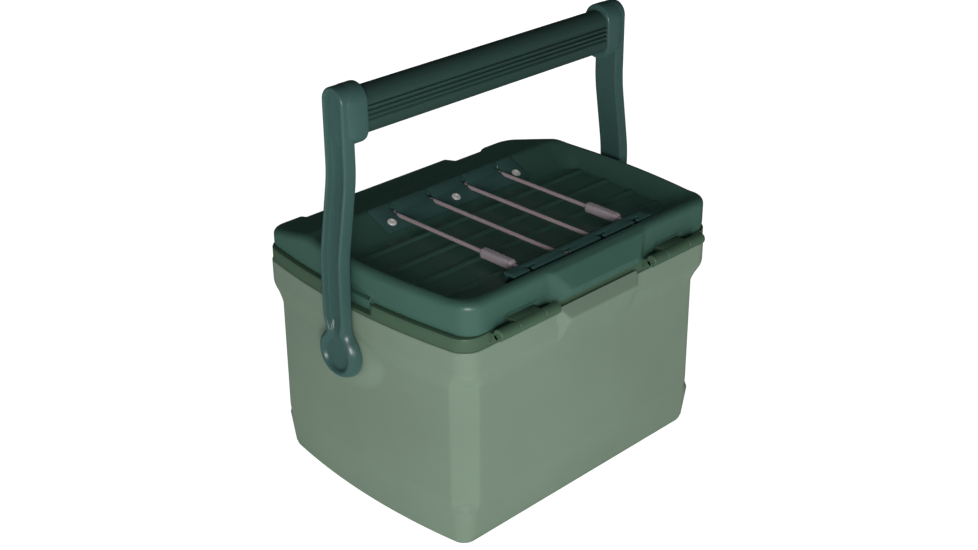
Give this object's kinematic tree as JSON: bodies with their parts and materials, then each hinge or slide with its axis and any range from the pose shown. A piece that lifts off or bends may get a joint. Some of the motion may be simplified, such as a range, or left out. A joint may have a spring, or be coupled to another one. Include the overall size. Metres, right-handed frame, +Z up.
{
  "type": "hard-sided personal cooler",
  "caption": "Foam-insulated hard cooler box with a hinged lid, a cord tie-down tray, a swinging carry handle and a front latch.",
  "frame": {"origin": "middle of the underside of the tub, on the surface it stands on", "axes": "+Z up, +X along the length, +Y towards the hinges, -Y towards the latch"},
  "size_m": [0.3086, 0.2462, 0.3335],
  "materials": {
    "tub_green": "fine moulded satin, light sage green",
    "collar_olive": "moulded satin, dark olive green",
    "lid_green": "moulded satin, very dark green",
    "handle_green": "moulded satin, dark blue-green",
    "grip_green": "soft moulded grip, fine grooves",
    "plate_black": "glass-filled plastic sheet, slightly glossy",
    "liner_grey": "smooth food-safe liner",
    "foam": "closed-cell insulation foam",
    "seal_grey": "soft extruded seal",
    "cord_brown": "braided shock cord",
    "steel": "stainless steel",
    "washer_white": "plain bearing plastic"
  },
  "bodies": {
    "tub": {"outer_shell": "tub_green", "inner_liner": "liner_grey", "tub_foam": "foam", "collar": "collar_olive", "hinge_pins": "steel", "pivot_hubs": "tub_green", "pivot_bolts": "steel"},
    "lid": {"lid_shell": "lid_green", "lid_liner": "liner_grey", "lid_foam": "foam", "lid_gasket": "seal_grey", "tie_plate_front": "plate_black", "tie_plate_back": "plate_black", "tie_plate_screws": "steel", "tie_down_cord": "cord_brown", "cord_sleeves": "cord_brown", "cord_end_clips": "plate_black", "latch_pin": "steel"},
    "latch": {"latch": "lid_green"},
    "handle_carrier": {"pivot_washers": "washer_white"},
    "handle": {"handle_arm_left": "handle_green", "handle_arm_right": "handle_green", "grip_sleeve": "grip_green", "grip_core": "steel", "pivot_caps": "handle_green"}
  },
  "joints": [
    {"name": "lid_hinge", "type": "hinge", "parent": "tub", "child": "lid", "pos_m": [0, 0.1186, 0.1783], "axis": [-1, 0, 0], "range_deg": [0, 85]},
    {"name": "latch_swing", "type": "hinge", "parent": "lid", "child": "latch", "pos_m": [0, -0.116, 0.1825], "axis": [-1, 0, 0], "range_deg": [0, 85]},
    {"name": "handle_carry", "type": "hinge", "parent": "tub", "child": "handle_carrier", "pos_m": [0, -0.005, 0.132], "axis": [-1, 0, 0], "range_deg": [0, 127.5]},
    {"name": "handle_swing", "type": "hinge", "parent": "handle_carrier", "child": "handle", "pos_m": [0, -0.005, 0.132], "axis": [-1, 0, 0], "range_deg": [-127.5, 0]}
  ],
  "couplings": [
    {"joint": "handle_carry", "follows": "lid_hinge", "ratio": 1.5}
  ]
}
